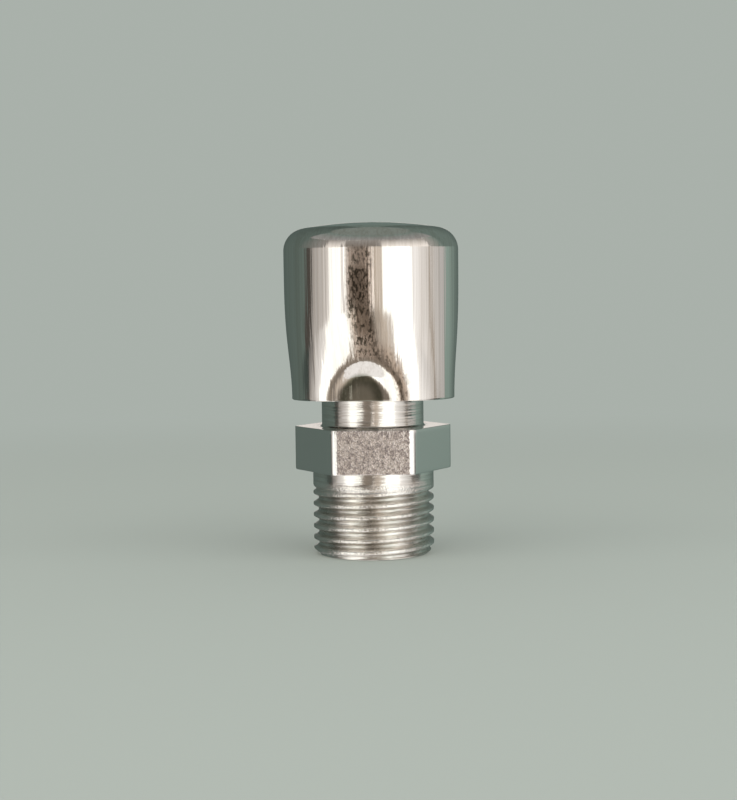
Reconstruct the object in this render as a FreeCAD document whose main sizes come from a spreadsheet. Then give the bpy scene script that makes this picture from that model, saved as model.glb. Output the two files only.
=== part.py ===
import FreeCAD, Part
import Sketcher
import math
import os

# Axle breather: a turned hexagon plug with a pressed cap crimped over its head
# and a loose steel ball on a seat inside. Millimetres, thread end down, Z up.

SIZES = [
    ("thread_radius", 4.865),
    ("thread_length", 6.8),
    ("thread_bevel", 0.45),
    ("hex_flats", 11.0),
    ("hex_height", 3.5),
    ("hex_corner_radius", 0.6),
    ("hex_bevel", 0.3),
    ("neck_radius", 4.1),
    ("head_radius", 5.4),
    ("head_bevel", 0.3),
    ("bore_radius", 1.5),
    ("bore_bevel", 0.3),
    ("ball_radius", 2.38),
    ("ball_play", 0.1),
    ("ball_lift", 1.5),
    ("seat_gap", 0.02),
    ("slot_width", 1.6),
    ("slot_depth", 3.2),
    ("slot_count", 2),
    ("rim_gap", 2.25),
    ("cap_radius", 7.0),
    ("cap_height", 14.0),
    ("cap_wall", 0.6),
    ("crown_radius", 33.0),
    ("crown_corner", 1.8),
    ("crown_gap", 0.08),
    ("crimp_gap", 0.8),
    ("crimp_radius", 6.0),
    ("crimp_blend", 2.0),
    ("crimp_count", 3),
    ("catch_gap", 0.05),
    ("cap_turned", 55.0),
]

# Turn between neighbouring flats of the punch that shapes the crimps in the cap's hollow.
FLAT_TURN = math.radians(30)


class Size:
    """A named size of the part: its number and the sheet expression it stands for."""

    def __init__(self, number, text):
        self.number = number
        self.text = text

    def join(self, other, sign, number):
        text = other.text if isinstance(other, Size) else repr(float(other))
        return Size(number, "(" + self.text + " " + sign + " " + text + ")")

    def __add__(self, other):
        return self.join(other, "+", self.number + plain(other))

    def __sub__(self, other):
        return self.join(other, "-", self.number - plain(other))

    def __mul__(self, other):
        return self.join(other, "*", self.number * plain(other))

    def __truediv__(self, other):
        return self.join(other, "/", self.number / plain(other))

    def root(self):
        return Size(math.sqrt(self.number), "sqrt(" + self.text + ")")


def plain(value):
    return value.number if isinstance(value, Size) else float(value)


FULL_TURN = Size(360, "360")


def make_sheet(document):
    sheet = document.addObject("Spreadsheet::Sheet", "sizes")
    sizes = {}
    for row, (name, number) in enumerate(SIZES, start=1):
        sheet.set("A" + str(row), name)
        sheet.set("B" + str(row), str(number))
        sheet.setAlias("B" + str(row), name)
        sizes[name] = Size(number, "sizes." + name)
    document.recompute()
    return sizes


def origin_item(body, role):
    for item in body.Origin.OriginFeatures:
        if item.Role == role:
            return item
    raise RuntimeError("no " + role)


def add_sketch(body, name, role, height=None):
    sketch = body.newObject("Sketcher::SketchObject", name)
    sketch.AttachmentSupport = [(origin_item(body, role), "")]
    sketch.MapMode = "FlatFace"
    if height is not None:
        sketch.AttachmentOffset = FreeCAD.Placement(
            FreeCAD.Vector(0, 0, height.number), FreeCAD.Rotation()
        )
        sketch.setExpression("AttachmentOffset.Base.z", height.text)
    return sketch


def name_size(sketch, index, name, size):
    sketch.renameConstraint(index, name)
    sketch.setExpression("Constraints." + name, size.text)


def pin_point(sketch, curve, end, name, across, up):
    """Hold one end of a curve at a distance across and a height, each a size or None for zero."""
    if across is None:
        sketch.addConstraint(Sketcher.Constraint("PointOnObject", curve, end, -2))
    else:
        place = sketch.addConstraint(
            Sketcher.Constraint("DistanceX", -1, 1, curve, end, across.number)
        )
        name_size(sketch, place, name + "_across", across)
    if up is None:
        sketch.addConstraint(Sketcher.Constraint("PointOnObject", curve, end, -1))
    else:
        place = sketch.addConstraint(
            Sketcher.Constraint("DistanceY", -1, 1, curve, end, up.number)
        )
        name_size(sketch, place, name + "_up", up)


def draw_outline(sketch, corners):
    """A closed outline of straight lines through named corners."""
    points = [
        FreeCAD.Vector(plain(across or 0), plain(up or 0), 0) for _, across, up in corners
    ]
    count = len(points)
    lines = [
        sketch.addGeometry(Part.LineSegment(points[i], points[(i + 1) % count]), False)
        for i in range(count)
    ]
    for i, (name, across, up) in enumerate(corners):
        sketch.addConstraint(
            Sketcher.Constraint("Coincident", lines[i - 1], 2, lines[i], 1)
        )
        pin_point(sketch, lines[i], 1, name, across, up)
    return lines


def revolve(body, kind, name, sketch):
    """A full turn of a sketch about its own upright axis: Revolution adds, Groove cuts."""
    turn = body.newObject("PartDesign::" + kind, name)
    turn.Profile = sketch
    turn.ReferenceAxis = (sketch, ["V_Axis"])
    turn.Angle = 360
    return turn


def repeat(body, name, feature, count, angle):
    """Turn copies of a feature about the long axis of the part."""
    pattern = body.newObject("PartDesign::PolarPattern", name)
    pattern.Originals = [feature]
    pattern.Axis = (origin_item(body, "Z_Axis"), [""])
    pattern.setExpression("Angle", angle.text)
    pattern.setExpression("Occurrences", count.text)
    body.Tip = pattern
    return pattern


def volume_changes(document, feature, before, sign):
    """Stop if a cut took nothing away, or a boss added nothing."""
    document.recompute()
    change = feature.Shape.Volume - before
    if change * sign < 0.01:
        raise RuntimeError(feature.Label + " changed nothing")


def crimp_middle(s):
    """How far from the long axis the centre of each crimp's ball nose lies."""
    return s["neck_radius"] + s["crimp_gap"] + s["cap_wall"] + s["crimp_radius"]


def heights(s):
    """The levels of the part along its axis, from the thread end up."""
    z = {}
    z["hex_under"] = s["thread_length"]
    z["hex_top"] = z["hex_under"] + s["hex_height"]
    z["rim"] = z["hex_top"] + s["rim_gap"]
    z["crown"] = z["rim"] + s["cap_height"]
    z["crown_inside"] = z["crown"] - s["cap_wall"]
    corner = (s["crimp_radius"] + s["cap_wall"]) / math.cos(FLAT_TURN / 2)
    away = crimp_middle(s) - s["head_radius"]
    z["head_under"] = z["rim"] + (corner * corner - away * away).root() + s["catch_gap"]
    land = s["cap_radius"] - s["crown_corner"]
    sag = s["crown_radius"] - (s["crown_radius"] * s["crown_radius"] - land * land).root()
    slope = sag / land
    top = z["crown_inside"] - slope * (s["head_radius"] - s["head_bevel"])
    z["head_top"] = top - s["crown_gap"]
    z["slot_floor"] = z["head_top"] - s["slot_depth"]
    z["ball"] = z["crown_inside"] - s["crown_gap"] - s["ball_lift"] - s["ball_radius"]
    reach = (s["ball_radius"] + s["seat_gap"]) * math.sqrt(2)
    z["seat"] = z["ball"] + s["bore_radius"] - reach
    return z


def make_body(document, s, z):
    """Plug turned from hexagon bar: thread, hexagon, neck, head, bore, ball seat and slots."""
    body = document.addObject("PartDesign::Body", "body")

    outline = add_sketch(body, "turned_outline", "XZ_Plane")
    bevel = s["thread_bevel"]
    draw_outline(
        outline,
        [
            ("foot_centre", None, None),
            ("foot_edge", s["thread_radius"] - bevel, None),
            ("thread_start", s["thread_radius"], bevel),
            ("thread_top", s["thread_radius"], z["hex_under"]),
            ("neck_foot", s["neck_radius"], z["hex_under"]),
            ("neck_top", s["neck_radius"], z["head_under"]),
            ("head_foot", s["head_radius"], z["head_under"]),
            ("head_shoulder", s["head_radius"], z["head_top"] - s["head_bevel"]),
            ("head_land", s["head_radius"] - s["head_bevel"], z["head_top"]),
            ("head_centre", None, z["head_top"]),
        ],
    )
    turned = revolve(body, "Revolution", "turned_form", outline)
    document.recompute()

    corners = add_sketch(body, "hexagon_outline", "XY_Plane", z["hex_under"])
    across = s["hex_flats"].number / math.sqrt(3)
    points = [
        FreeCAD.Vector(across * math.cos(turn), across * math.sin(turn), 0)
        for turn in (math.radians(60 * k) for k in range(6))
    ]
    sides = [
        corners.addGeometry(Part.LineSegment(points[k], points[(k + 1) % 6]), False)
        for k in range(6)
    ]
    for k in range(6):
        corners.addConstraint(
            Sketcher.Constraint("Coincident", sides[k - 1], 2, sides[k], 1)
        )
    ring = corners.addGeometry(
        Part.Circle(FreeCAD.Vector(0, 0, 0), FreeCAD.Vector(0, 0, 1), across), True
    )
    corners.addConstraint(Sketcher.Constraint("Coincident", ring, 3, -1, 1))
    for k in range(6):
        corners.addConstraint(Sketcher.Constraint("PointOnObject", sides[k], 1, ring))
    for k in range(1, 6):
        corners.addConstraint(Sketcher.Constraint("Equal", sides[0], sides[k]))
    corners.addConstraint(Sketcher.Constraint("PointOnObject", sides[0], 1, -1))
    flats = corners.addConstraint(
        Sketcher.Constraint("DistanceY", sides[4], 1, sides[1], 1, s["hex_flats"].number)
    )
    name_size(corners, flats, "flats", s["hex_flats"])
    before = turned.Shape.Volume
    hexagon = body.newObject("PartDesign::Pad", "hexagon")
    hexagon.Profile = corners
    hexagon.setExpression("Length", s["hex_height"].text)
    volume_changes(document, hexagon, before, 1)

    upright = [
        "Edge" + str(number)
        for number, edge in enumerate(hexagon.Shape.Edges, start=1)
        if isinstance(edge.Curve, Part.Line)
        and abs(edge.tangentAt(edge.FirstParameter).z) > 0.99
        and edge.Length > 0.5 * s["hex_height"].number
        and math.hypot(edge.CenterOfMass.x, edge.CenterOfMass.y) > across * 0.99
    ]
    rounded = body.newObject("PartDesign::Fillet", "hexagon_corners")
    rounded.Base = (hexagon, upright)
    rounded.setExpression("Radius", s["hex_corner_radius"].text)
    volume_changes(document, rounded, hexagon.Shape.Volume, -1)

    under = add_sketch(body, "hexagon_bevel_outline", "XZ_Plane")
    reach = s["hex_flats"] * (2 / math.sqrt(3)) / 2
    draw_outline(
        under,
        [
            ("bevel_foot", reach - s["hex_bevel"], z["hex_under"]),
            ("bevel_outside", reach, z["hex_under"]),
            ("bevel_top", reach, z["hex_under"] + s["hex_bevel"]),
        ],
    )
    bevelled = revolve(body, "Groove", "hexagon_bevel", under)
    volume_changes(document, bevelled, rounded.Shape.Volume, -1)

    chamber = s["ball_radius"] + s["ball_play"]
    inside = add_sketch(body, "bore_outline", "XZ_Plane")
    draw_outline(
        inside,
        [
            ("mouth_centre", None, None),
            ("mouth_edge", s["bore_radius"] + s["bore_bevel"], None),
            ("mouth_top", s["bore_radius"], s["bore_bevel"]),
            ("seat_foot", s["bore_radius"], z["seat"]),
            ("seat_top", chamber, z["seat"] + chamber - s["bore_radius"]),
            ("chamber_top", chamber, z["head_top"]),
            ("chamber_centre", None, z["head_top"]),
        ],
    )
    bored = revolve(body, "Groove", "bore_and_seat", inside)
    volume_changes(document, bored, bevelled.Shape.Volume, -1)

    window = add_sketch(body, "slot_outline", "XZ_Plane")
    half = s["slot_width"] / 2
    left = window.addGeometry(
        Part.LineSegment(
            FreeCAD.Vector(-half.number, z["head_top"].number, 0),
            FreeCAD.Vector(-half.number, z["slot_floor"].number, 0),
        ),
        False,
    )
    floor = window.addGeometry(
        Part.LineSegment(
            FreeCAD.Vector(-half.number, z["slot_floor"].number, 0),
            FreeCAD.Vector(half.number, z["slot_floor"].number, 0),
        ),
        False,
    )
    right = window.addGeometry(
        Part.LineSegment(
            FreeCAD.Vector(half.number, z["slot_floor"].number, 0),
            FreeCAD.Vector(half.number, z["head_top"].number, 0),
        ),
        False,
    )
    top = window.addGeometry(
        Part.LineSegment(
            FreeCAD.Vector(half.number, z["head_top"].number, 0),
            FreeCAD.Vector(-half.number, z["head_top"].number, 0),
        ),
        False,
    )
    for first, second in ((left, floor), (floor, right), (right, top), (top, left)):
        window.addConstraint(Sketcher.Constraint("Coincident", first, 2, second, 1))
    window.addConstraint(Sketcher.Constraint("Vertical", left))
    window.addConstraint(Sketcher.Constraint("Vertical", right))
    window.addConstraint(Sketcher.Constraint("Horizontal", top))
    window.addConstraint(Sketcher.Constraint("Symmetric", left, 2, right, 1, -2))
    pin_point(window, right, 1, "floor_corner", half, z["slot_floor"])
    high = window.addConstraint(
        Sketcher.Constraint("DistanceY", -1, 1, top, 1, z["head_top"].number)
    )
    name_size(window, high, "slot_top", z["head_top"])
    slot = body.newObject("PartDesign::Pocket", "slot")
    slot.Profile = window
    slot.Type = "ThroughAll"
    slot.Midplane = True
    volume_changes(document, slot, bored.Shape.Volume, -1)
    spread = (s["slot_count"] - 1) * 180 / s["slot_count"]
    slots = repeat(body, "slots", slot, s["slot_count"], spread)
    volume_changes(document, slots, slot.Shape.Volume, -1)
    return body


def draw_crown(outline, s, z):
    """Half section of the cap's outside: plain wall, rounded corner and shallow dome."""
    radius = s["cap_radius"]
    dome = s["crown_radius"]
    corner = s["crown_corner"]
    middle = (dome - corner).number
    beside = (radius - corner).number
    bend = math.acos(beside / middle)
    dome_centre = (z["crown"] - dome).number
    corner_centre = dome_centre + middle * math.sin(bend)
    rim = z["rim"].number
    up = FreeCAD.Vector(0, 0, 1)
    rim_edge = FreeCAD.Vector(radius.number, rim, 0)
    axis = outline.addGeometry(
        Part.LineSegment(
            FreeCAD.Vector(0, z["crown"].number, 0), FreeCAD.Vector(0, rim, 0)
        ),
        False,
    )
    base = outline.addGeometry(Part.LineSegment(FreeCAD.Vector(0, rim, 0), rim_edge), False)
    wall = outline.addGeometry(
        Part.LineSegment(rim_edge, FreeCAD.Vector(radius.number, corner_centre, 0)), False
    )
    curl = outline.addGeometry(
        Part.ArcOfCircle(
            Part.Circle(FreeCAD.Vector(beside, corner_centre, 0), up, corner.number), 0, bend
        ),
        False,
    )
    crown = outline.addGeometry(
        Part.ArcOfCircle(
            Part.Circle(FreeCAD.Vector(0, dome_centre, 0), up, dome.number),
            bend,
            math.pi / 2,
        ),
        False,
    )
    outline.addConstraint(Sketcher.Constraint("Coincident", axis, 2, base, 1))
    outline.addConstraint(Sketcher.Constraint("Coincident", base, 2, wall, 1))
    outline.addConstraint(Sketcher.Constraint("Tangent", wall, 2, curl, 1))
    outline.addConstraint(Sketcher.Constraint("Tangent", curl, 2, crown, 1))
    outline.addConstraint(Sketcher.Constraint("Coincident", crown, 2, axis, 1))
    outline.addConstraint(Sketcher.Constraint("PointOnObject", crown, 3, -2))
    outline.addConstraint(Sketcher.Constraint("Horizontal", base))
    outline.addConstraint(Sketcher.Constraint("Vertical", wall))
    pin_point(outline, axis, 1, "crown_centre", None, z["crown"])
    pin_point(outline, axis, 2, "rim_centre", None, z["rim"])
    wide = outline.addConstraint(
        Sketcher.Constraint("DistanceX", base, 1, base, 2, radius.number)
    )
    name_size(outline, wide, "wall_across", radius)
    tight = outline.addConstraint(Sketcher.Constraint("Radius", curl, corner.number))
    name_size(outline, tight, "corner_radius", corner)
    flat = outline.addConstraint(Sketcher.Constraint("Radius", crown, dome.number))
    name_size(outline, flat, "dome_radius", dome)


def draw_hollow(outline, s, z):
    """Half section of the cap's hollow: wall, bevelled corner and shallow cone."""
    radius = s["cap_radius"] - s["cap_wall"]
    land = s["cap_radius"] - s["crown_corner"]
    sag = s["crown_radius"] - (s["crown_radius"] * s["crown_radius"] - land * land).root()
    bevel = s["crown_corner"] - s["cap_wall"]
    draw_outline(
        outline,
        [
            ("crown_inside", None, z["crown_inside"]),
            ("rim_centre", None, z["rim"]),
            ("rim_inside", radius, z["rim"]),
            ("wall_top", radius, z["crown_inside"] - sag - bevel),
            ("crown_edge", land, z["crown_inside"] - sag),
        ],
    )


def round_nose(punch, middle, nose):
    """Half section of a ball-nosed punch, to be turned about the sketch's upright axis."""
    near = FreeCAD.Vector(0, (middle - nose).number, 0)
    far = FreeCAD.Vector(0, (middle + nose).number, 0)
    circle = Part.Circle(
        FreeCAD.Vector(0, middle.number, 0), FreeCAD.Vector(0, 0, 1), nose.number
    )
    ball = punch.addGeometry(
        Part.ArcOfCircle(circle, -math.pi / 2, math.pi / 2), False
    )
    chord = punch.addGeometry(Part.LineSegment(far, near), False)
    punch.addConstraint(Sketcher.Constraint("Coincident", ball, 2, chord, 1))
    punch.addConstraint(Sketcher.Constraint("Coincident", chord, 2, ball, 1))
    punch.addConstraint(Sketcher.Constraint("PointOnObject", ball, 1, -2))
    punch.addConstraint(Sketcher.Constraint("PointOnObject", ball, 2, -2))
    pin_point(punch, ball, 3, "nose_centre", None, middle)
    radius = punch.addConstraint(Sketcher.Constraint("Radius", ball, nose.number))
    name_size(punch, radius, "nose_radius", nose)


def bevelled_nose(punch, middle, nose):
    """Half section of a punch with flats that touch a ball nose of the same radius."""
    half = FLAT_TURN / 2
    corner = nose / math.cos(half)
    tip = middle - nose
    shoulder = middle - nose * math.tan(half)
    draw_outline(
        punch,
        [
            ("tip_middle", None, tip),
            ("tip_edge", nose * math.tan(half), tip),
            ("bend", corner * math.sin(3 * half), middle - corner * math.cos(3 * half)),
            ("shoulder_edge", nose, shoulder),
            ("shoulder_middle", None, shoulder),
        ],
    )


def press_crimps(document, form, s, z, name, draw_nose, nose):
    """Press the crimps into a cap form with punches in a ring round the rim."""
    punch = add_sketch(form, name + "_punch", "XY_Plane", z["rim"])
    draw_nose(punch, crimp_middle(s), nose)
    before = form.Shape.Volume
    crimp = revolve(form, "Groove", name + "_crimp", punch)
    volume_changes(document, crimp, before, -1)
    crimps = repeat(form, name + "_crimps", crimp, s["crimp_count"], FULL_TURN)
    volume_changes(document, crimps, crimp.Shape.Volume, -1)
    return crimps


def make_cap(document, s, z):
    """Pressed sheet cap: its hollow taken out of its outside, both with the crimps pressed in."""
    outside = document.addObject("PartDesign::Body", "cap_outside")
    outline = add_sketch(outside, "cap_outside_outline", "XZ_Plane")
    draw_crown(outline, s, z)
    revolve(outside, "Revolution", "cap_blank", outline)
    document.recompute()
    crimps = press_crimps(document, outside, s, z, "outside", round_nose, s["crimp_radius"])

    creases = []
    for number, edge in enumerate(crimps.Shape.Edges, start=1):
        beside_edge = crimps.Shape.ancestorsOfType(edge, Part.Face)
        kinds = sorted(face.Surface.TypeId for face in beside_edge)
        if kinds == ["Part::GeomCylinder", "Part::GeomSphere"]:
            creases.append("Edge" + str(number))
    blend = outside.newObject("PartDesign::Fillet", "crimp_blend")
    blend.Base = (crimps, creases)
    blend.setExpression("Radius", s["crimp_blend"].text)
    volume_changes(document, blend, crimps.Shape.Volume, -1)
    outside.Tip = blend

    hollow = document.addObject("PartDesign::Body", "cap_hollow")
    section = add_sketch(hollow, "cap_hollow_outline", "XZ_Plane")
    draw_hollow(section, s, z)
    revolve(hollow, "Revolution", "cap_hollow_blank", section)
    document.recompute()
    inner_nose = s["crimp_radius"] + s["cap_wall"]
    press_crimps(document, hollow, s, z, "hollow", bevelled_nose, inner_nose)

    cap = document.addObject("Part::Cut", "cap")
    cap.Base = outside
    cap.Tool = hollow
    cap.Placement.Rotation = FreeCAD.Rotation(FreeCAD.Vector(0, 0, 1), s["cap_turned"].number)
    cap.setExpression("Placement.Rotation.Angle", s["cap_turned"].text)
    return cap


def make_ball(document, s, z):
    ball = document.addObject("Part::Sphere", "valve_ball")
    ball.setExpression("Radius", s["ball_radius"].text)
    ball.setExpression("Placement.Base.z", z["ball"].text)
    return ball


def main():
    document = FreeCAD.newDocument("axle_breather")
    s = make_sheet(document)
    z = heights(s)
    parts = [
        make_body(document, s, z),
        make_cap(document, s, z),
        make_ball(document, s, z),
    ]
    document.recompute()
    for item in document.Objects:
        if "Invalid" in item.State or "Error" in item.State:
            raise RuntimeError(item.Label + " did not build")
    os.makedirs("parts", exist_ok=True)
    for part in parts:
        if part.Shape.isNull() or not part.Shape.isValid():
            raise RuntimeError(part.Label + " has no sound shape")
        if len(part.Shape.Solids) != 1:
            raise RuntimeError(part.Label + " is not one solid")
        part.Shape.exportStep("parts/" + part.Label + ".step")


main()
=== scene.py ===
import math

import bmesh
import bpy
import numpy as np
from mathutils import Matrix, Vector


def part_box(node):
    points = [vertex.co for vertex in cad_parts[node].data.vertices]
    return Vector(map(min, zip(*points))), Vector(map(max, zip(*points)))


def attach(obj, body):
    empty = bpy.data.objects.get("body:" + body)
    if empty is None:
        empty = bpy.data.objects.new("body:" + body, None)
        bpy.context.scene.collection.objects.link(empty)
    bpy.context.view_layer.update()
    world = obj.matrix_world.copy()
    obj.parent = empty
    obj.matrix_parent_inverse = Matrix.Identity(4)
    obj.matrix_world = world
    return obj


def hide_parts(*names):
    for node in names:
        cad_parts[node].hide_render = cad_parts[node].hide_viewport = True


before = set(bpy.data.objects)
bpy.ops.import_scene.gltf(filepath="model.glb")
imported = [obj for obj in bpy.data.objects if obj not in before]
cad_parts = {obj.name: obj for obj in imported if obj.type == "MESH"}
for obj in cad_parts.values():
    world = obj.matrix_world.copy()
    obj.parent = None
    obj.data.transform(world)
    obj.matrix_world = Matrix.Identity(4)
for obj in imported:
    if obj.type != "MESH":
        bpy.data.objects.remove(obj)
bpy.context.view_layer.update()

# Axle breather: turned and threaded plug, crimped pressed cap, loose valve ball.
# The part stands upright with its thread end on the floor. Sizes are millimetres
# and become metres in the meshes, except where a comment gives another unit.

MM = 0.001


def levels(node):
    """The lowest and the highest level of a CAD node."""
    low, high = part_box(node)
    return low[2] / MM, high[2] / MM


# Plug, from the thread end up
THREAD_RADIUS = 4.865
THREAD_PITCH = 0.907
THREAD_DEPTH = 0.42
THREAD_START = 0.42
THREAD_TOP = 5.5
THREAD_BEVEL = 0.45
HEX_UNDER = 6.8
HEX_TOP = 10.3
HEX_FLATS = 11.0
HEX_CORNER = 0.6
HEX_BEVEL = 0.12
SHOULDER = 0.3
NECK_RADIUS = 4.1
NECK_FILLET = 0.15
NECK_FILLET_TALL = 0.12
HEAD_RADIUS = 5.4
HEAD_UNDER = 15.68
HEAD_TOP = levels("body")[1]
HEAD_BEVEL = 0.3
SLOT_WIDTH = 1.6
SLOT_DEPTH = 3.2
SLOT_OVERRUN = 1.0
BORE_RADIUS = 1.5
BORE_BEVEL = 0.3
CHAMBER_RADIUS = 2.48
SEAT_FOOT = 20.06
EDGE = 0.06

# Thread profile, in shares of half a pitch, and how much of the flank is rounded
CREST_FLAT = 0.2
FLANK = 0.6
FLANK_ROUND = 0.4

# Ends of the thread's cut: in pitches from its top, and in shares of the radius
# and of the shank's length
RUN_OUT = (-0.5, 0.12)
CUT_SKIN = (0.8, 0.82)
CUT_END = (0.975, 0.99)

# Cap
CAP_RADIUS = 7.0
CAP_WALL = 0.6
RIM, CROWN = levels("cap")
CROWN_RADIUS = 33.0
CORNER_RADIUS = 1.8
RIM_LIP = 0.05

# Crimps: a broad draw of the skirt, and a flat-nosed punch mark in the middle of it.
# The first one's turn is in degrees. Pressing sets in between two shares of the radius.
CRIMPS = 3
CRIMP_TURN = -95.0
PRESSED_SKIN = (0.6, 0.85)
SIDE_CHANGE = 1.0
DRAW_DEPTH = 1.0
DRAW_LEFT = 3.0
DRAW_RIGHT = 2.8
DRAW_TALL = 3.2
PUNCH_DEPTH = 0.9
PUNCH_LEFT = 2.8
PUNCH_RIGHT = 2.55
PUNCH_SQUASH = 1.12
NOSE_DEPTH = 1.5
NOSE_BLEND = 0.2

# Shallow flat low on the left side of the skirt, its turn in degrees
FLAT_TURN = 180.0
FLAT_DEPTH = 0.4
FLAT_WIDE = 2.5
FLAT_TALL = 3.0

# Meshes: columns round the axis, how far apart the rings of each skin may be,
# and a radius so small that it counts as the axis
COLUMNS = 360
OUTSIDE_RUN = 0.14
INSIDE_RUN = 0.3
PLAIN_RUN = 1.0
THREAD_RUN = THREAD_PITCH / 18
AXIS = 0.001


# Node expressions


class Socket:
    """One output of a node, with arithmetic that adds the Math nodes for it."""

    def __init__(self, graph, socket):
        self.graph = graph
        self.socket = socket

    def math(self, operation, *values):
        return self.graph.add("ShaderNodeMath", {"operation": operation}, dict(enumerate(values)))

    def __add__(self, other):
        return self.math("ADD", self, other)

    def __radd__(self, other):
        return self.math("ADD", other, self)

    def __sub__(self, other):
        return self.math("SUBTRACT", self, other)

    def __rsub__(self, other):
        return self.math("SUBTRACT", other, self)

    def __mul__(self, other):
        return self.math("MULTIPLY", self, other)

    def __rmul__(self, other):
        return self.math("MULTIPLY", other, self)

    def __truediv__(self, other):
        return self.math("DIVIDE", self, other)

    def fraction(self):
        return self.math("FRACT", self)

    def size(self):
        return self.math("ABSOLUTE", self)

    def root(self):
        return self.math("SQRT", self)

    def exponent(self):
        return self.math("EXPONENT", self)

    def angle_with(self, other):
        return self.math("ARCTAN2", self, other)

    def at_most(self, other):
        return self.math("MINIMUM", self, other)

    def at_least(self, other):
        return self.math("MAXIMUM", self, other)

    def at_most_softly(self, other, blend):
        return self.math("SMOOTH_MIN", self, other, blend)

    def step(self, low, high):
        """0 below low, 1 above high, and a smooth change between them."""
        return self.graph.add(
            "ShaderNodeMapRange",
            {"interpolation_type": "SMOOTHSTEP"},
            {"Value": self, "From Min": low, "From Max": high},
        )

    def parts(self):
        node = self.graph.add("ShaderNodeSeparateXYZ", {}, {0: self}).socket.node
        return [Socket(self.graph, output) for output in node.outputs]


class Graph:
    """The nodes of one material, world or shape rule."""

    def __init__(self, tree):
        self.tree = tree

    def add(self, kind, settings, sockets, output=0):
        """A node of one kind: its settings first, then values or links for its sockets."""
        node = self.tree.nodes.new(kind)
        for name, value in settings.items():
            setattr(node, name, value)
        for name, value in sockets.items():
            self.feed(node.inputs[name], value)
        return Socket(self, node.outputs[output]) if node.outputs else node

    def feed(self, slot, value):
        if isinstance(value, Socket):
            self.tree.links.new(value.socket, slot)
        else:
            slot.default_value = value

    def mix(self, factor, first, second):
        return self.add(
            "ShaderNodeMix", {"data_type": "RGBA"}, {0: factor, 6: first, 7: second}, output=2
        )

    def join(self, x, y, z):
        return self.add("ShaderNodeCombineXYZ", {}, {"X": x, "Y": y, "Z": z})

    def noise(self, place, scale, detail, stretch=(1, 1, 1)):
        """Fractal noise with so many grains to a metre, stretched along the axes asked."""
        mapped = self.add("ShaderNodeMapping", {}, {"Vector": place, "Scale": stretch})
        return self.add(
            "ShaderNodeTexNoise",
            {},
            {"Vector": mapped, "Scale": scale, "Detail": detail, "Roughness": 0.6},
        )

    def bump(self, height, distance, normal=None):
        """Relief of a height in metres, laid over another relief where one is given."""
        sockets = {"Height": height, "Distance": distance, "Strength": 1.0}
        if normal is not None:
            sockets["Normal"] = normal
        return self.add("ShaderNodeBump", {}, sockets)


def clean_graph(owner):
    """An empty set of nodes for a material or the world."""
    owner.use_nodes = True
    owner.node_tree.nodes.clear()
    return Graph(owner.node_tree)


# Meshes


def new_object(name, data):
    thing = bpy.data.objects.new(name, data)
    bpy.context.scene.collection.objects.link(thing)
    return thing


def round_edges(points, radius, steps=3, most=0.4):
    """Replace each sharp corner of an open outline by a curve over part of its two runs."""
    outline = [np.array(points[0], float)]
    for before, corner, after in zip(points, points[1:], points[2:]):
        before, corner, after = (np.array(p, float) for p in (before, corner, after))
        into = corner - before
        out = after - corner
        length_in = np.linalg.norm(into)
        length_out = np.linalg.norm(out)
        reach = min(radius, most * length_in, most * length_out)
        start = corner - into / length_in * reach
        end = corner + out / length_out * reach
        for t in np.linspace(0, 1, steps + 1):
            outline.append((1 - t) ** 2 * start + 2 * t * (1 - t) * corner + t**2 * end)
    outline.append(np.array(points[-1], float))
    return outline


def spaced(outline, longest):
    """Add points along the straight runs so that no run is longer than asked."""
    result = [outline[0]]
    for a, b in zip(outline, outline[1:]):
        count = max(1, math.ceil(np.linalg.norm(b - a) / longest))
        result += [a + (b - a) * k / count for k in range(1, count + 1)]
    return result


def ring(radius, height):
    """Points round the axis, at one radius or at one for each column."""
    turn = np.arange(COLUMNS) * 2 * math.pi / COLUMNS
    radius = np.broadcast_to(radius, COLUMNS)
    level = np.full(COLUMNS, height)
    return np.stack([radius * np.cos(turn), radius * np.sin(turn), level], axis=1)


def turned_mesh(name, rings, loop):
    """A closed skin over rings of points, in a loop or with both of its ends on the axis."""
    count = len(rings)
    points = [tuple(p) for p in np.concatenate(rings) * MM]
    faces = []
    for j in range(count if loop else count - 1):
        low = j * COLUMNS
        high = ((j + 1) % count) * COLUMNS
        for i in range(COLUMNS):
            k = (i + 1) % COLUMNS
            faces.append((low + i, low + k, high + k, high + i))
    if not loop:
        for j in (0, count - 1):
            centre = len(points)
            points.append((0.0, 0.0, rings[j][0][2] * MM))
            low = j * COLUMNS
            faces += [(low + i, low + (i + 1) % COLUMNS, centre) for i in range(COLUMNS)]
    mesh = bpy.data.meshes.new(name)
    mesh.from_pydata(points, [], faces)
    thing = new_object(name, mesh)
    face_outwards(thing)
    return thing


def face_outwards(thing):
    """Turn every face of a closed skin outwards."""
    work = bmesh.new()
    work.from_mesh(thing.data)
    bmesh.ops.recalc_face_normals(work, faces=work.faces)
    if work.calc_volume(signed=True) < 0:
        bmesh.ops.reverse_faces(work, faces=work.faces)
    work.to_mesh(thing.data)
    work.free()


def hexagon_radius():
    """Distance from the axis to the outline of the hexagon, its corners rounded."""
    turn = np.arange(COLUMNS) * 2 * math.pi / COLUMNS
    from_corner = np.abs((turn + math.pi / 6) % (math.pi / 3) - math.pi / 6)
    flat = HEX_FLATS / 2
    straight = flat / np.cos(math.pi / 6 - from_corner)
    middle = (flat - HEX_CORNER) / math.cos(math.pi / 6)
    reach = HEX_CORNER**2 - (middle * np.sin(from_corner)) ** 2
    arc = middle * np.cos(from_corner) + np.sqrt(np.maximum(reach, 0))
    arc_end = math.atan2(HEX_CORNER / 2, middle + HEX_CORNER * math.cos(math.pi / 6))
    return np.where(from_corner < arc_end, arc, straight)


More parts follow.
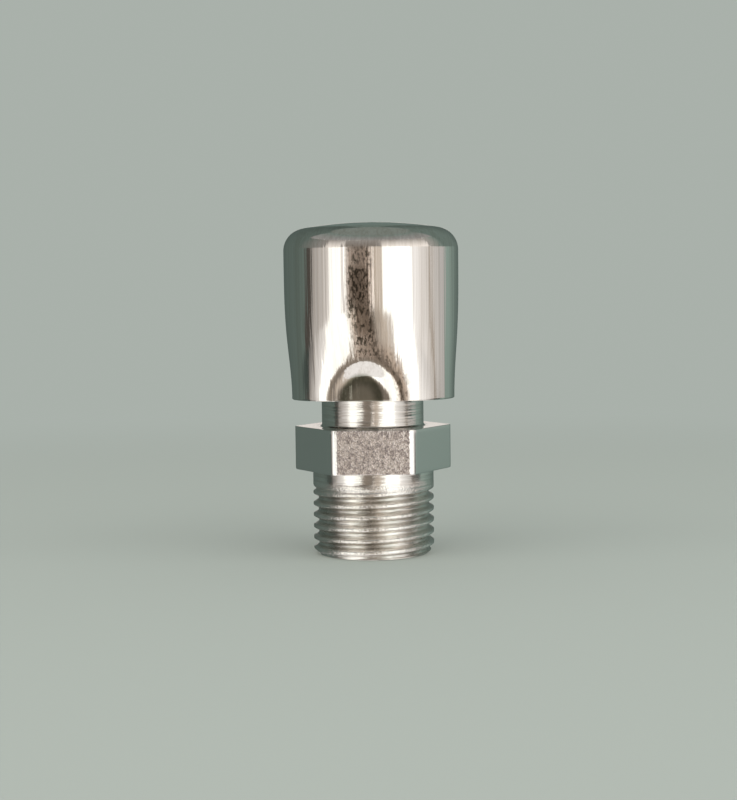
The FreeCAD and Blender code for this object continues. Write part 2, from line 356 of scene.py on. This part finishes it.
def plain_object(thing):
    """Turn an object with its modifiers into a plain mesh object."""
    depsgraph = bpy.context.evaluated_depsgraph_get()
    mesh = bpy.data.meshes.new_from_object(thing.evaluated_get(depsgraph))
    thing.modifiers.clear()
    old = thing.data
    thing.data = mesh
    bpy.data.meshes.remove(old)
    return thing


def smooth(thing, degrees):
    """Shade a piece smoothly, except over edges that bend by more than an angle."""
    thing.data.shade_smooth()
    thing.data.set_sharp_from_angle(angle=math.radians(degrees))


# Shape rules


class Rule:
    """A Geometry Nodes tree with named sizes that moves the points of a blank."""

    def __init__(self, name, sizes, material):
        self.sizes = sizes
        self.tree = bpy.data.node_groups.new(name, "GeometryNodeTree")
        self.graph = Graph(self.tree)
        sockets = self.tree.interface
        sockets.new_socket("Geometry", in_out="INPUT", socket_type="NodeSocketGeometry")
        for size in sizes:
            sockets.new_socket(size, in_out="INPUT", socket_type="NodeSocketFloat")
        sockets.new_socket("Geometry", in_out="OUTPUT", socket_type="NodeSocketGeometry")
        self.inputs = self.graph.add("NodeGroupInput", {}, {}).socket.node.outputs
        self.material = material
        self.place = self.graph.add("GeometryNodeInputPosition", {}, {})

    def size(self, name):
        return Socket(self.graph, self.inputs[name])

    def finish(self, thing, position):
        blank = self.size("Geometry")
        moved = self.graph.add(
            "GeometryNodeSetPosition", {}, {"Geometry": blank, "Position": position}
        )
        real = self.graph.add("GeometryNodeRealizeInstances", {}, {"Geometry": moved})
        dressed = self.graph.add(
            "GeometryNodeSetMaterial", {}, {"Geometry": real, "Material": self.material}
        )
        self.graph.add("NodeGroupOutput", {}, {"Geometry": dressed})
        modifier = thing.modifiers.new(self.tree.name, "NODES")
        modifier.node_group = self.tree
        for item in self.tree.interface.items_tree:
            if item.in_out == "INPUT" and item.name in self.sizes:
                modifier[item.identifier] = float(self.sizes[item.name])
        return plain_object(thing)


def press_crimps(blank, material):
    """Draw the cap's skirt in, punch the middle of each draw, and flatten the left side."""
    rule = Rule(
        "crimps",
        {
            "Count": CRIMPS,
            "First Turn": math.radians(CRIMP_TURN),
            "Draw Depth": DRAW_DEPTH * MM,
            "Draw Left": DRAW_LEFT * MM,
            "Draw Right": DRAW_RIGHT * MM,
            "Draw Height": DRAW_TALL * MM,
            "Punch Depth": PUNCH_DEPTH * MM,
            "Punch Left": PUNCH_LEFT * MM,
            "Punch Right": PUNCH_RIGHT * MM,
            "Punch Squash": PUNCH_SQUASH,
            "Nose Depth": NOSE_DEPTH * MM,
            "Nose Blend": NOSE_BLEND * MM,
            "Flat Turn": math.radians(FLAT_TURN),
            "Flat Depth": FLAT_DEPTH * MM,
            "Flat Width": FLAT_WIDE * MM,
            "Flat Height": FLAT_TALL * MM,
            "Rim Height": RIM * MM,
            "Radius": CAP_RADIUS * MM,
        },
        material,
    )
    x, y, z = rule.place.parts()
    across = (x * x + y * y).root()
    turn = y.angle_with(x)
    up = z - rule.size("Rim Height")

    share = rule.size("Count") / (2 * math.pi)
    turns = (turn - rule.size("First Turn")) * share
    beside = ((turns + 0.5).fraction() - 0.5) / share * rule.size("Radius")
    right = beside.step(-SIDE_CHANGE * MM, SIDE_CHANGE * MM)
    left = 1 - right
    wide = beside / (rule.size("Draw Left") * left + rule.size("Draw Right") * right)
    tall = up / rule.size("Draw Height")
    draw = (-0.5 * (wide * wide + tall * tall)).exponent() * rule.size("Draw Depth")

    wide = beside / (rule.size("Punch Left") * left + rule.size("Punch Right") * right)
    tall = up * rule.size("Punch Squash") / rule.size("Punch Left")
    from_punch = wide * wide + tall * tall
    bowl = (-1 * from_punch * from_punch).exponent() * rule.size("Punch Depth")
    blend = rule.size("Nose Blend")
    flat_nose = rule.size("Nose Depth") - draw - beside * beside / (2 * rule.size("Radius"))
    punch = bowl.at_most_softly(flat_nose.at_least(blend), blend)

    flat_turns = (turn - rule.size("Flat Turn")) / (2 * math.pi)
    flat_beside = ((flat_turns + 0.5).fraction() - 0.5) * (2 * math.pi) * rule.size("Radius")
    flat_wide = flat_beside / rule.size("Flat Width")
    flat_tall = up / rule.size("Flat Height")
    flat = (-0.5 * (flat_wide * flat_wide + flat_tall * flat_tall)).exponent()

    pull = draw + punch + flat * rule.size("Flat Depth")
    wall = (across / rule.size("Radius")).step(*PRESSED_SKIN)
    scale = (across - pull * wall) / across.at_least(AXIS * MM)
    return rule.finish(blank, rule.graph.join(x * scale, y * scale, z))


def cut_thread(blank, material):
    """Cut a right-hand thread into the plain lower end of the plug."""
    rule = Rule(
        "thread",
        {
            "Pitch": THREAD_PITCH * MM,
            "Depth": THREAD_DEPTH * MM,
            "Radius": THREAD_RADIUS * MM,
            "Start": THREAD_START * MM,
            "Top": THREAD_TOP * MM,
            "Shank End": HEX_UNDER * MM,
        },
        material,
    )
    x, y, z = rule.place.parts()
    across = (x * x + y * y).root()
    pitch = rule.size("Pitch")
    turns = (y.angle_with(x) - math.pi) / (2 * math.pi)
    along = (z - rule.size("Start")) / pitch - turns
    from_crest = ((along + 0.5).fraction() - 0.5).size() * 2
    flank = (from_crest - CREST_FLAT) / FLANK
    straight = flank.at_most(1.0).at_least(0.0)
    groove = flank.step(0.0, 1.0) * FLANK_ROUND + straight * (1 - FLANK_ROUND)
    fade = 1 - ((z - rule.size("Top")) / pitch).step(*RUN_OUT)
    floor = rule.size("Radius") - groove * rule.size("Depth") * fade
    outside = (across / rule.size("Radius")).step(*CUT_SKIN)
    below = 1 - (z / rule.size("Shank End")).step(*CUT_END)
    cut = outside * below
    radius = across.at_most(floor) * cut + across * (1 - cut)
    scale = radius / across.at_least(AXIS * MM)
    return rule.finish(blank, rule.graph.join(x * scale, y * scale, z))


# Finishes

PLATE_BRIGHT = (0.90, 0.865, 0.825, 1)
PLATE_DULL = (0.78, 0.735, 0.685, 1)
# Painted reflection on the cap's front: brown, with dark dots
REFLECTION_BROWN = (0.66, 0.52, 0.43, 1)
REFLECTION_DOT_DARK = (0.13, 0.11, 0.085, 1)
# Painted shade in each crimp's dish: lighter in the middle, darker at the rim
DISH_SHADE_MIDDLE = (0.56, 0.55, 0.48, 1)
DISH_SHADE_EDGE = (0.23, 0.24, 0.19, 1)
TURNED_BRIGHT = (0.88, 0.85, 0.81, 1)
TURNED_DULL = (0.78, 0.74, 0.69, 1)
SATIN_FLAT = (0.86, 0.84, 0.81, 1)
GRAIN_BRIGHT = (0.92, 0.86, 0.83, 1)
GRAIN_DULL = (0.66, 0.60, 0.58, 1)
GRAIN_PIT = (0.24, 0.20, 0.20, 1)
THREAD_ROOT_DARK = (0.36, 0.35, 0.31, 1)
BALL_BRIGHT = (0.62, 0.62, 0.62, 1)
BALL_DULL = (0.52, 0.52, 0.53, 1)

# Relief of the finishes, in metres, and the levels over which the cap's draw lines end
DRAW_LINES_DEEP = 0.000024
TURNING_DEEP = 0.000032
GRAIN_DEEP = 0.00003
ROLLING_DEEP = 0.00001
WALL_ENDS = (CROWN - CORNER_RADIUS - 0.6, CROWN - 0.6 * CORNER_RADIUS)

# Painted reflection on the cap's front, brown with dark dots: where it starts towards the front
# and ends below the crown, the level up from the rim at which its dots are strongest and how they
# fade from it, the clear arch over the crimp, a strip up the middle that leans, and a leg beside
# the arch
REFLECTION_FRONT = (4.5, 6.0)
REFLECTION_TOP = (CROWN - 2.6, CROWN - 1.8)
REFLECTION_LEVEL = 7.7
REFLECTION_FADE = (1.8, 3.2)
ARCH_SQUASH = 0.67
ARCH_EDGE = (2.6, 2.9)
STRIP_EDGE = (0.55, 1.25)
STRIP_RIGHT = 0.05
STRIP_LEAN = 0.4
STRIP_BEND = (4.0, 7.0)
LEG_FADE = (3.3, 4.3)
LEG_SIDE = (-0.6, 0.6)

# Painted shade in the dish of each crimp, darkest at its rim
DISH_LEFT = 0.45
DISH_ENDS = (1.85, 2.3)
DISH_RIM = (0.8, 1.7)

# Where the hexagon's flats start and end, which of them face front or back, and
# where the grain on those ends
FLATS_START = (HEX_UNDER, HEX_UNDER + 0.05)
FLATS_END = (HEX_TOP - 0.05, HEX_TOP)
FLATS_OUT = (HEX_FLATS / 2 - 0.04, HEX_FLATS / 2 - 0.02)
FACING_OUT = (HEX_FLATS / 2 - 0.3, HEX_FLATS / 2 - 0.1)
GRAIN_ENDS = (2.75, 2.95)

# Where the thread's finish ends, and where darkening and nicks lie in it
THREADED_END = (THREAD_TOP, THREAD_TOP + 0.6)
ROOT_END = (THREAD_RADIUS - THREAD_DEPTH, THREAD_RADIUS - 0.08)
ROOT_DARK_START = (BORE_RADIUS + 1, THREAD_RADIUS - 0.9)
NICKS_START = (THREAD_RADIUS - 0.4, THREAD_RADIUS)


class Finish:
    """A metal finish: its material, nodes, surface and the place on the piece."""

    def __init__(self, name):
        self.material = bpy.data.materials.new(name)
        self.graph = clean_graph(self.material)
        self.surface = self.graph.add("ShaderNodeBsdfPrincipled", {}, {"Metallic": 1.0})
        self.graph.add("ShaderNodeOutputMaterial", {}, {"Surface": self.surface})
        self.place = self.graph.add("ShaderNodeTexCoord", {}, {}, output="Object")

    def set(self, name, value):
        self.graph.feed(self.surface.socket.node.inputs[name], value)


def beside_crimp(x, y):
    """How far to the side of the nearest crimp a place is, in millimetres round the cap."""
    turns = (y.angle_with(x) - math.radians(CRIMP_TURN)) * (CRIMPS / (2 * math.pi))
    return ((turns + 0.5).fraction() - 0.5) * (2 * math.pi * CAP_RADIUS / CRIMPS)


def front_painted_reflection(y, height, beside, up):
    """Masks of the front's painted reflection: a strip up the middle, and a leg down the crimp's
    right.
    """
    arch = (beside * beside + up * up * ARCH_SQUASH).root()
    front = (0 - y / MM).step(*REFLECTION_FRONT) * (1 - height.step(*REFLECTION_TOP))
    above = arch.step(*ARCH_EDGE) * front
    lean = up.step(*STRIP_BEND) * STRIP_LEAN
    strip = (1 - (beside + lean - STRIP_RIGHT).size().step(*STRIP_EDGE)) * above
    leg = (1 - arch.step(*LEG_FADE)) * beside.step(*LEG_SIDE) * above
    return strip, leg


def cap_finish():
    """Bright plated drawn sheet: upright draw lines, painted shade in each crimp's dish, and a
    painted reflection with dark dots up the front.
    """
    finish = Finish("plated_cap")
    graph = finish.graph
    place = finish.place
    x, y, z = place.parts()
    height = z / MM
    wall = 1 - height.step(*WALL_ENDS)
    beside = beside_crimp(x, y)
    up = height - RIM
    fine = graph.noise(place, 5200, 2, (1, 1, 0.008))
    broad = graph.noise(place, 1500, 2, (1, 1, 0.012))
    spots = graph.noise(place, 5200, 2, (1, 1, 0.5))
    dot_patches = graph.noise(place, 1100, 3)
    lines = (fine * 0.5 + broad * 0.5).step(0.38, 0.64)
    tint = graph.mix(lines, PLATE_BRIGHT, PLATE_DULL)

    # Painted reflection: a brown strip and leg with dark dots, standing in for the dark middle and
    # the brown arch beside the crimp
    strip, leg = front_painted_reflection(y, height, beside, up)
    reflected = strip + leg * 0.6 * (1 - strip)
    ends = (up - REFLECTION_LEVEL).size().step(*REFLECTION_FADE)
    dots = spots.step(0.47, 0.6) * (0.45 + dot_patches.step(0.36, 0.54) * 0.55) + (1 - ends) * 0.28
    reflection_browned = graph.mix(reflected * 0.75, tint, REFLECTION_BROWN)
    dotted = graph.mix(dots * reflected, reflection_browned, REFLECTION_DOT_DARK)

    # Painted shade in each crimp's dish, darker towards its rim
    leaning = beside + DISH_LEFT
    from_dish = (leaning * leaning + up * up).root()
    dish = 1 - from_dish.step(*DISH_ENDS)
    rim_shade = from_dish.step(*DISH_RIM) * (0.55 + spots * 0.7)
    dish_shade_tint = graph.mix(rim_shade, DISH_SHADE_MIDDLE, DISH_SHADE_EDGE)
    finish.set("Base Color", graph.mix(dish, dotted, dish_shade_tint))
    scuffed = strip * (0.05 + ends * 0.12)
    finish.set("Roughness", 0.075 + broad.step(0.35, 0.75) * 0.06 + scuffed)
    finish.set("Normal", graph.bump((fine * 0.35 + broad) * wall, DRAW_LINES_DEEP))
    return finish.material


def plug_finish():
    """Bright plated bar: turning rings, a nicked thread darker in patches in its roots, satin
    flats, two of them grained.
    """
    finish = Finish("plated_body")
    graph = finish.graph
    place = finish.place
    x, y, z = place.parts()
    across = (x * x + y * y).root() / MM
    height = z / MM
    grain = graph.noise(place, 9000, 2)
    speck = graph.noise(place, 3200, 2)
    rings = graph.noise(place, 4200, 3, (0.035, 0.035, 1))
    wander = graph.noise(place, 1500, 2, (0.3, 0.3, 1))

    band = height.step(*FLATS_START) * (1 - height.step(*FLATS_END))
    flats = band * across.step(*FLATS_OUT)
    facing = (y.size() / MM).step(*FACING_OUT)
    coarse = flats * facing * (1 - (x.size() / MM).step(*GRAIN_ENDS))
    grained = graph.mix(speck.step(0.42, 0.6), GRAIN_BRIGHT, GRAIN_DULL)
    pits = grain.step(0.53, 0.62) * (0.25 + speck.step(0.4, 0.6) * 0.6)
    pitted = graph.mix(pits, grained, GRAIN_PIT)
    ringed = graph.mix(rings.step(0.35, 0.65), TURNED_BRIGHT, TURNED_DULL)
    plated = graph.mix(coarse, graph.mix(flats, ringed, SATIN_FLAT), pitted)

    threaded = 1 - height.step(*THREADED_END)
    # Darker in patches in the thread's roots
    root = (1 - across.step(*ROOT_END)) * (1 - height.step(THREAD_TOP, HEX_UNDER))
    root_dark = root * across.step(*ROOT_DARK_START) * wander.step(0.3, 0.7) * 0.7
    finish.set("Base Color", graph.mix(root_dark, plated, THREAD_ROOT_DARK))
    finish.set("Roughness", 0.13 + flats * 0.08 + threaded * 0.11 + root_dark * 0.05)

    rough = 1 + threaded * 0.8
    nicks = (grain + speck * 2) * threaded * across.step(*NICKS_START)
    turning = (rings + wander * 0.6) * (1 - flats) * rough + nicks * 0.7
    milled = (grain + speck) * (flats * 0.1 + coarse * 0.9)
    turned = graph.bump(turning, TURNING_DEEP)
    finish.set("Normal", graph.bump(milled, GRAIN_DEEP, turned))
    return finish.material


def ball_finish():
    """Polished bearing steel with faint rolling marks."""
    finish = Finish("ball_steel")
    graph = finish.graph
    marks = graph.noise(finish.place, 900, 4)
    finish.set("Base Color", graph.mix(marks, BALL_BRIGHT, BALL_DULL))
    finish.set("Roughness", 0.08 + marks * 0.12)
    finish.set("Normal", graph.bump(marks, ROLLING_DEEP))
    return finish.material


# Pieces


def cap_outline(inset):
    """Half section of the cap's skin, from the rim to just short of the crown's centre."""
    corner_steps = 18
    dome_steps = 24
    radius = CAP_RADIUS - inset
    dome = CROWN_RADIUS - inset
    corner = CORNER_RADIUS - inset
    dome_centre = CROWN - inset - dome
    bend = math.acos((radius - corner) / (dome - corner))
    corner_centre = dome_centre + (dome - corner) * math.sin(bend)
    outline = [np.array((radius, RIM)), np.array((radius, corner_centre))]
    for turn in np.linspace(0, bend, corner_steps + 1)[1:]:
        curl = corner * np.array((math.cos(turn), math.sin(turn)))
        outline.append(np.array((radius - corner, corner_centre)) + curl)
    for turn in np.linspace(bend, math.pi / 2, dome_steps + 1)[1:-1]:
        curl = dome * np.array((math.cos(turn), math.sin(turn)))
        outline.append(np.array((0, dome_centre)) + curl)
    return outline


def make_cap(material):
    outside = spaced(cap_outline(0.0), OUTSIDE_RUN)
    inside = spaced(cap_outline(CAP_WALL), INSIDE_RUN)
    lip = [np.array((CAP_RADIUS, RIM + RIM_LIP))]
    shares = (0.08, 0.3, 0.7, 0.92)
    rim = [np.array((CAP_RADIUS - CAP_WALL * share, RIM)) for share in shares]
    skin = outside[:0:-1] + lip + rim + inside
    blank = turned_mesh("cap_shell", [ring(r, z) for r, z in skin], loop=False)
    cap = press_crimps(blank, material)
    smooth(cap, degrees=50)
    return cap


def hexagon_rings():
    """The hexagon from its underside to its top face."""
    outline = hexagon_radius()
    shank = THREAD_RADIUS + SHOULDER
    neck = NECK_RADIUS + NECK_FILLET
    shares = (0.35, 0.7)
    rings = [ring(shank + (outline - HEX_BEVEL - shank) * share, HEX_UNDER) for share in shares]
    for t in np.linspace(0, math.pi / 2, 5):
        inset = HEX_BEVEL * (1 - math.sin(t))
        lift = HEX_BEVEL * (1 - math.cos(t))
        rings.append(ring(outline - inset, HEX_UNDER + lift))
    for z in np.linspace(HEX_UNDER + HEX_BEVEL, HEX_TOP - EDGE, 14)[1:]:
        rings.append(ring(outline, z))
    for t in np.linspace(0, math.pi / 2, 4)[1:]:
        inset = EDGE * (1 - math.cos(t))
        drop = EDGE * (1 - math.sin(t))
        rings.append(ring(outline - inset, HEX_TOP - drop))
    rings += [ring(neck + (outline - neck) * share, HEX_TOP) for share in shares[::-1]]
    return rings


def cut_slots(plug):
    """Cut the two crossed slots into the head."""
    wide = SLOT_WIDTH / 2 * MM
    long = (HEAD_RADIUS + SLOT_OVERRUN) * MM
    for half_x, half_y in ((long, wide), (wide, long)):
        bpy.ops.mesh.primitive_cube_add(size=2)
        bar = bpy.context.active_object
        for corner in bar.data.vertices:
            side = 1 if corner.co.z > 0 else -1
            corner.co = (
                corner.co.x * half_x,
                corner.co.y * half_y,
                (HEAD_TOP + side * SLOT_DEPTH) * MM,
            )
        cut = plug.modifiers.new("slot", "BOOLEAN")
        cut.operation = "DIFFERENCE"
        cut.solver = "EXACT"
        cut.object = bar
        plain_object(plug)
        bpy.data.objects.remove(bar)
    return plug


def make_plug(material):
    foot = round_edges(
        [
            (BORE_RADIUS + BORE_BEVEL, 0),
            (THREAD_RADIUS - THREAD_BEVEL, 0),
            (THREAD_RADIUS, THREAD_BEVEL),
            (THREAD_RADIUS, HEX_UNDER),
            (THREAD_RADIUS + SHOULDER, HEX_UNDER),
        ],
        EDGE,
    )
    chamber_foot = SEAT_FOOT + CHAMBER_RADIUS - BORE_RADIUS
    upper = round_edges(
        [
            (NECK_RADIUS + NECK_FILLET, HEX_TOP),
            (NECK_RADIUS, HEX_TOP + NECK_FILLET_TALL),
            (NECK_RADIUS, HEAD_UNDER),
            (HEAD_RADIUS, HEAD_UNDER),
            (HEAD_RADIUS, HEAD_TOP - HEAD_BEVEL),
            (HEAD_RADIUS - HEAD_BEVEL, HEAD_TOP),
            (CHAMBER_RADIUS, HEAD_TOP),
            (CHAMBER_RADIUS, chamber_foot),
            (BORE_RADIUS, SEAT_FOOT),
            (BORE_RADIUS, BORE_BEVEL),
            (BORE_RADIUS + BORE_BEVEL, 0.0),
        ],
        EDGE,
    )
    lower = spaced(foot[:2], PLAIN_RUN) + spaced(foot[1:], THREAD_RUN)[1:]
    rings = [ring(r, z) for r, z in lower]
    rings += hexagon_rings()
    rings += [ring(r, z) for r, z in spaced(upper, PLAIN_RUN)[:-1]]
    blank = turned_mesh("plug", rings, loop=True)
    plug = cut_slots(cut_thread(blank, material))
    smooth(plug, degrees=40)
    return plug


# Studio

# The picture's size and the place of the part's axis and foot in it, in pixels,
# and how many pixels a millimetre takes at the axis
PAGE_WIDE = 737
PAGE_HIGH = 800
AXIS_X = 372.5
FOOT_Y = 552.7
PIXELS_PER_MM = 12.4

# Camera: its distance and sensor in millimetres, its tilt and roll in degrees,
# and the nearest and farthest that it sees in metres
DISTANCE = 121.0
SENSOR = 36.0
CAMERA_TILT = 3.5
CAMERA_ROLL = -0.7
CAMERA_SEES = (0.005, 10)

# Floor, lamps and screens, in metres, with the soft boxes' rises in degrees
FLOOR_RADIUS = 6.0
FLOOR_FADE = (0.05, 0.16)
FLOOR_LEVEL = -0.00002
MIDDLE = 0.0133
LAMPS_AWAY = 0.19
BOX_RISES = (-57, 57)
SCREENS_AWAY = 0.16

BACKDROP = (0.40, 0.44, 0.405, 1)
SOFT_WHITE = (0.75, 0.75, 0.74, 1)


def make_camera():
    data = bpy.data.cameras.new("camera")
    data.sensor_width = SENSOR
    data.lens = SENSOR * DISTANCE * PIXELS_PER_MM / PAGE_HIGH
    data.clip_start, data.clip_end = CAMERA_SEES
    camera = new_object("camera", data)
    right = (PAGE_WIDE / 2 - AXIS_X) / PIXELS_PER_MM
    level = (FOOT_Y - PAGE_HIGH / 2) / PIXELS_PER_MM
    aim = Vector((right, 0, level)) * MM
    tilt = math.radians(CAMERA_TILT)
    back = Vector((0, -math.cos(tilt), math.sin(tilt)))
    camera.location = aim + back * DISTANCE * MM
    turn = (-back).to_track_quat("-Z", "Y").to_matrix().to_4x4()
    turn = turn @ Matrix.Rotation(math.radians(CAMERA_ROLL), 4, "Z")
    camera.rotation_euler = turn.to_euler()
    bpy.context.scene.camera = camera


def toward(turn, rise, distance):
    """The way to a place at a turn from the camera's side and a rise above level."""
    a = math.radians(turn)
    b = math.radians(rise)
    way = Vector((math.sin(a) * math.cos(b), -math.cos(a) * math.cos(b), math.sin(b)))
    return way * distance


def soft_box(name, turns, rises, radiance, colour):
    """A flat soft box that spans a range of turns and rises as the part sees it."""
    wide = 2 * LAMPS_AWAY * math.tan(math.radians(turns[1] - turns[0]) / 2)
    high = 2 * LAMPS_AWAY * math.tan(math.radians(rises[1] - rises[0]) / 2)
    data = bpy.data.lights.new(name, "AREA")
    data.shape = "RECTANGLE"
    data.size = wide
    data.size_y = high
    data.energy = radiance * math.pi * wide * high
    data.color = colour
    lamp = new_object(name, data)
    middle = Vector((0, 0, MIDDLE))
    lamp.location = middle + toward(sum(turns) / 2, sum(rises) / 2, LAMPS_AWAY)
    lamp.rotation_euler = (middle - lamp.location).to_track_quat("-Z", "Y").to_euler()
    lamp.visible_camera = False


def screen_glow():
    """Plain light, in the tone that the points of each screen carry."""
    material = bpy.data.materials.new("screen_glow")
    graph = clean_graph(material)
    tone = graph.add("ShaderNodeAttribute", {"attribute_name": "tone"}, {})
    glow = graph.add("ShaderNodeEmission", {}, {"Color": tone, "Strength": 1.0})
    graph.add("ShaderNodeOutputMaterial", {}, {"Surface": glow})
    return material


def finish_screen(thing, material, tones):
    """Light a screen, and hide it from the camera and from matt surfaces."""
    tone = thing.data.color_attributes.new("tone", "FLOAT_COLOR", "POINT")
    tone.data.foreach_set("color", tones)
    thing.data.materials.append(material)
    thing.visible_camera = False
    thing.visible_shadow = False
    thing.visible_diffuse = False


def screen(name, material, turns, rises, tones, along="turn"):
    """A curved screen seen only in the bright metal, its tone fading along its turn or rise."""
    strips = 16
    points = []
    colours = []
    for share in np.linspace(0, 1, strips + 1):
        foot = toward(turns[0] + (turns[1] - turns[0]) * share, 0, SCREENS_AWAY)
        for level in (0, 1):
            lift = MIDDLE + SCREENS_AWAY * math.tan(math.radians(rises[level]))
            points.append((foot.x, foot.y, lift))
            fade = share if along == "turn" else level
            colours += [a + (b - a) * fade for a, b in zip(*tones)] + [1.0]
    faces = [(2 * i, 2 * i + 2, 2 * i + 3, 2 * i + 1) for i in range(strips)]
    mesh = bpy.data.meshes.new(name)
    mesh.from_pydata(points, [], faces)
    finish_screen(new_object(name, mesh), material, colours)


def lid(name, material, rise, tone):
    """A round screen that closes the ring of screens above or below the part."""
    height = MIDDLE + SCREENS_AWAY * math.tan(math.radians(rise))
    bpy.ops.mesh.primitive_circle_add(
        vertices=64, radius=SCREENS_AWAY, fill_type="NGON", location=(0, 0, height)
    )
    disc = bpy.context.active_object
    disc.name = name
    finish_screen(disc, material, [*tone, 1.0] * len(disc.data.vertices))


def make_floor():
    """A pale floor that fades into the backdrop's colour away from the part."""
    bpy.ops.mesh.primitive_circle_add(vertices=128, radius=FLOOR_RADIUS, fill_type="NGON")
    floor = bpy.context.active_object
    floor.name = "floor"
    floor.location.z = FLOOR_LEVEL
    material = bpy.data.materials.new("pale_floor")
    graph = clean_graph(material)
    x, y, _ = graph.add("ShaderNodeTexCoord", {}, {}, output="Object").parts()
    far = (x * x + y * y).root().step(*FLOOR_FADE)
    matt = graph.add("ShaderNodeBsdfDiffuse", {}, {"Color": BACKDROP})
    glow = graph.add("ShaderNodeEmission", {}, {"Color": BACKDROP, "Strength": 1.0})
    surface = graph.add("ShaderNodeMixShader", {}, {0: far, 1: matt, 2: glow})
    graph.add("ShaderNodeOutputMaterial", {}, {"Surface": surface})
    floor.data.materials.append(material)
    floor.visible_glossy = False
    floor.visible_shadow = False


def make_world():
    """The backdrop's colour for the camera and the metal, and soft white light elsewhere."""
    world = bpy.data.worlds.new("studio")
    bpy.context.scene.world = world
    graph = clean_graph(world)
    rays = graph.add("ShaderNodeLightPath", {}, {}).socket.node.outputs
    seen = Socket(graph, rays["Is Camera Ray"])
    shiny = Socket(graph, rays["Is Glossy Ray"])
    clear = Socket(graph, rays["Is Transmission Ray"])
    shown = seen.at_least(shiny).at_least(clear)
    colour = graph.mix(shown, SOFT_WHITE, BACKDROP)
    background = graph.add("ShaderNodeBackground", {}, {"Color": colour, "Strength": 1.0})
    graph.add("ShaderNodeOutputWorld", {}, {"Surface": background})


def cream(level, warm=0.06):
    """A warm tone for a screen, brighter or dimmer."""
    return (level * (1 + warm), level, level * (1 - warm))


def green(level):
    """A grey-green tone for a screen, near the backdrop's."""
    return (level * 0.76, level, level * 0.9)


def make_screens():
    """Screens that give the metal its bands: gaps beside two soft boxes, and a dark middle."""
    material = screen_glow()
    # Rises of the screens' edges in degrees, and the turns that several screens share
    foot = -62
    table = -48
    eye = -4.2
    brow = 10
    split = 12
    crown = 40
    top = 62
    side = 106
    back = 140
    rear = 172

    behind_cap = (eye, brow)
    for name, turns, first, last in (
        ("left_gap", (-93, -82), cream(0.065, 0.12), cream(0.065, 0.12)),
        ("left_veil", (-82, -60), cream(0.36), cream(0.55)),
        ("left_fade", (-60, -53), cream(0.60), cream(0.98, 0.02)),
        ("left_edge", (-36, -26), cream(0.92, 0.04), cream(0.30, 0.15)),
        ("middle_card", (-26, -1), cream(0.12, 0.2), cream(0.20, 0.15)),
        ("middle_line", (-1, 1.6), cream(1.7), cream(1.7)),
        ("middle_veil", (1.6, 14), cream(0.38, 0.18), cream(0.72, 0.12)),
        ("right_veil", (50, 79), cream(1.08, 0.01), cream(0.62)),
        ("right_gap", (79, 84), cream(0.36, 0.14), cream(0.36, 0.14)),
        ("right_wing", (84, 112), cream(0.62, 0.04), cream(0.42, 0.02)),
        ("right_far", (112, back), green(0.36), green(0.22)),
    ):
        screen(name, material, turns, behind_cap, (first, last))

    below = (table, eye)
    for name, turns, first, last in (
        ("low_left_gap", (-99, -84), green(0.07), green(0.06)),
        ("low_left_veil", (-84, -74), cream(0.14), cream(0.36)),
        ("low_left_fade", (-74, -57), cream(0.45), cream(0.95, 0.02)),
        ("low_left_edge", (-23, -18), cream(0.80, 0.1), cream(0.25, 0.15)),
        ("low_middle", (-18, 1), cream(0.23, 0.2), cream(0.18, 0.15)),
        ("low_veil", (1, 16), cream(0.31, 0.15), cream(0.60, 0.15)),
        ("low_right_edge", (16, 23), cream(0.5, 0.12), cream(0.95, 0.05)),
        ("low_right_fade", (50, 76), cream(1.08, 0.01), cream(0.40)),
        ("low_right_gap", (76, 98), cream(0.11, 0.1), green(0.10)),
        ("low_right_far", (98, back), green(0.36), green(0.20)),
    ):
        screen(name, material, turns, below, (first, last))

    crown_low = (brow, crown)
    for name, turns, first, last in (
        ("crown_left_box", (-60, -36), cream(0.9), cream(0.27)),
        ("crown_middle", (-36, 12), cream(0.22, 0.1), cream(0.30)),
        ("crown_right_box", (12, 80), cream(0.95), cream(0.30)),
    ):
        screen(name, material, turns, crown_low, (first, last), "rise")
    screen("crown_left", material, (-side, -60), crown_low, (green(0.14), cream(0.27)))
    screen("crown_right", material, (80, side), crown_low, (cream(0.36), green(0.24)))
    above = (crown, top)
    dark = green(0.19)
    screen("haze", material, (-side, side), above, (cream(0.29, 0.02), green(0.22)), "rise")
    screen("low_far_left", material, (-side, -99), below, (green(0.13), green(0.12)))
    screen("far_left", material, (-side, -93), behind_cap, (green(0.15), green(0.18)))
    screen("back_left", material, (-rear, -side), (foot, top), (green(0.11), green(0.15)))
    screen("back_right", material, (back, rear), (foot, top), (dark, green(0.12)))
    screen("back_upper", material, (side, back), (brow, top), (dark, dark))
    behind = (rear, 360 - rear)
    screen("back_light", material, behind, (foot, split), (cream(0.75), cream(0.75)))
    screen("back_shade", material, behind, (split, top), (dark, dark))
    lid("ceiling", material, top, (0.20, 0.23, 0.21))
    lid("table_light", material, table, cream(0.90, 0.02))


def make_studio():
    make_camera()
    make_floor()
    make_world()
    soft_box("left_box", (-86, -12), BOX_RISES, 0.98, (1.0, 0.98, 0.95))
    soft_box("right_box", (10, 86), BOX_RISES, 1.12, (1.0, 1.0, 0.99))
    make_screens()


cap = make_cap(cap_finish())
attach(cap, "cover")
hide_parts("cap")

plug = make_plug(plug_finish())
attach(plug, "plug")
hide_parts("body")

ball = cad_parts["valve_ball"]
ball.material_slots[0].material = ball_finish()

make_studio()
bpy.context.scene.view_settings.view_transform = "Standard"
